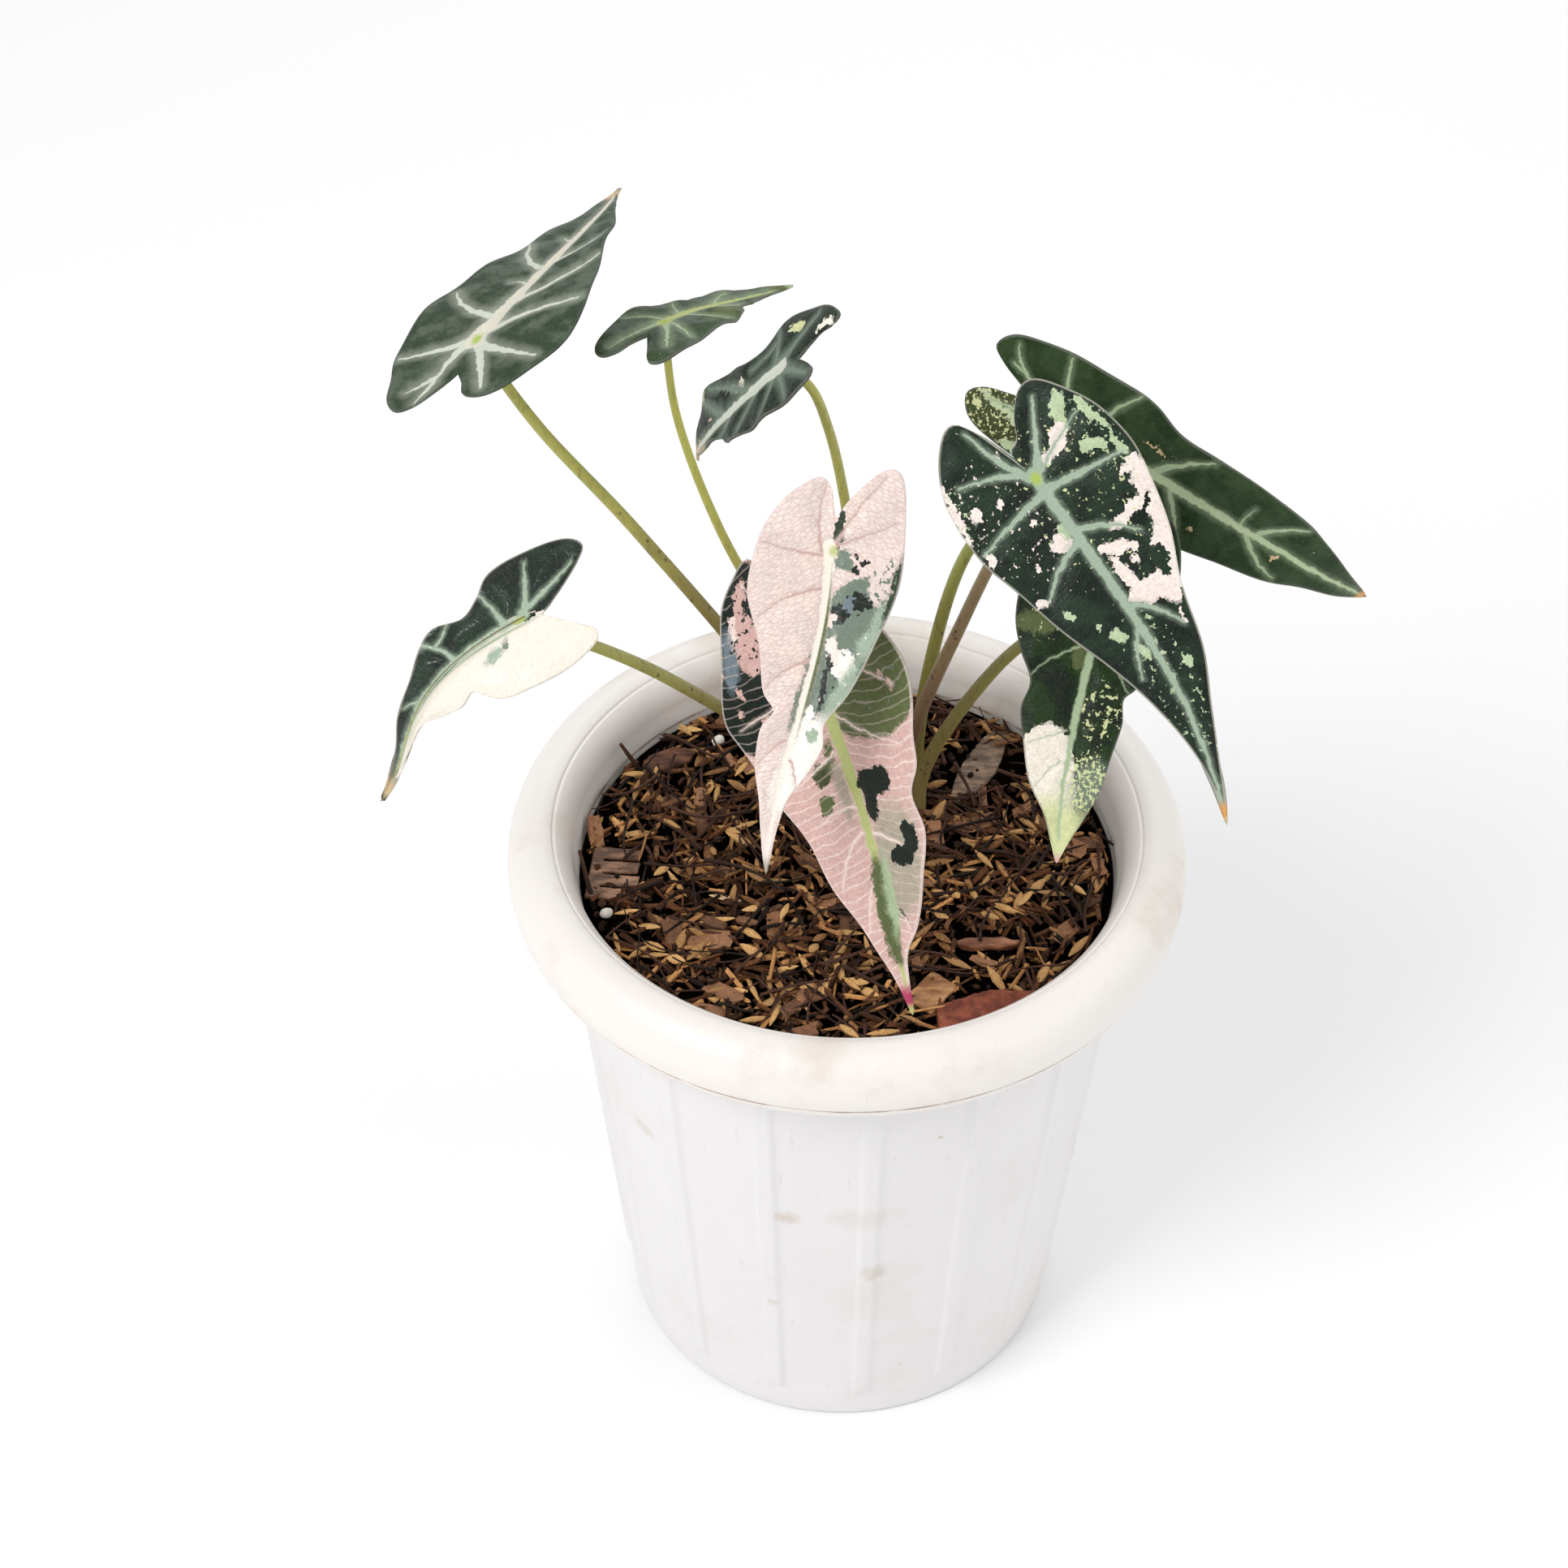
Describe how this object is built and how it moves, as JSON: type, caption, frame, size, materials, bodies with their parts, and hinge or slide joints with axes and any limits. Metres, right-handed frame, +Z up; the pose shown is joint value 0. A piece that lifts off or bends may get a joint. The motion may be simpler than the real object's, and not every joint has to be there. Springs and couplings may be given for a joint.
{
  "type": "potted variegated bambino alocasia",
  "caption": "Houseplant with arrow-shaped variegated leaves on slim stalks, standing in a fluted white nursery pot of chunky potting bark.",
  "frame": {"origin": "centre of the pot's underside, on the surface that it stands on", "axes": "+Z up; -Y towards the side that the leaves face and the picture was taken from; +X to that viewer's right"},
  "size_m": [0.2304, 0.2079, 0.3092],
  "materials": {
    "pot_plastic": "warm white moulded plastic, slightly stained",
    "potting_mix": "near-black bark and peat with tan husks",
    "leaf_dark": "dark green satin leaf with silvery veins and pale flecks",
    "leaf_green": "mid green satin leaf with pale veins",
    "leaf_netted": "near-black green leaf with a silver-grey net of veins",
    "leaf_half_cream": "leaf with one dark green half and one cream half",
    "leaf_pale": "pinkish cream leaf with a fine grey-pink net and dark patches",
    "leaf_pink": "mauve-pink leaf with olive and black-green patches",
    "leaf_half_yellow": "deep green leaf that turns yellow-cream towards the tip",
    "terracotta": "unglazed brick-red pottery",
    "tan_bark": "pale tan bark",
    "red_wood": "reddish brown wood",
    "brown_bark": "brown pine bark",
    "dry_leaf": "dry brown leaf litter",
    "perlite": "white expanded granules"
  },
  "bodies": {
    "root": {"pot": "pot_plastic", "soil": "potting_mix", "leaf_left_back": "leaf_dark", "leaf_top_small": "leaf_green", "leaf_top_netted": "leaf_netted", "leaf_left_cream": "leaf_half_cream", "leaf_front_pale": "leaf_pale", "leaf_front_pink": "leaf_pink", "leaf_right_blotched": "leaf_dark", "leaf_right_back": "leaf_green", "leaf_right_low": "leaf_half_yellow", "terracotta_shard": "terracotta", "tan_chip": "tan_bark", "wood_stick": "red_wood", "dry_frond": "dry_leaf", "bark_slab": "brown_bark", "dry_leaf": "dry_leaf", "perlite_left": "perlite", "perlite_back": "perlite"}
  },
  "joints": []
}
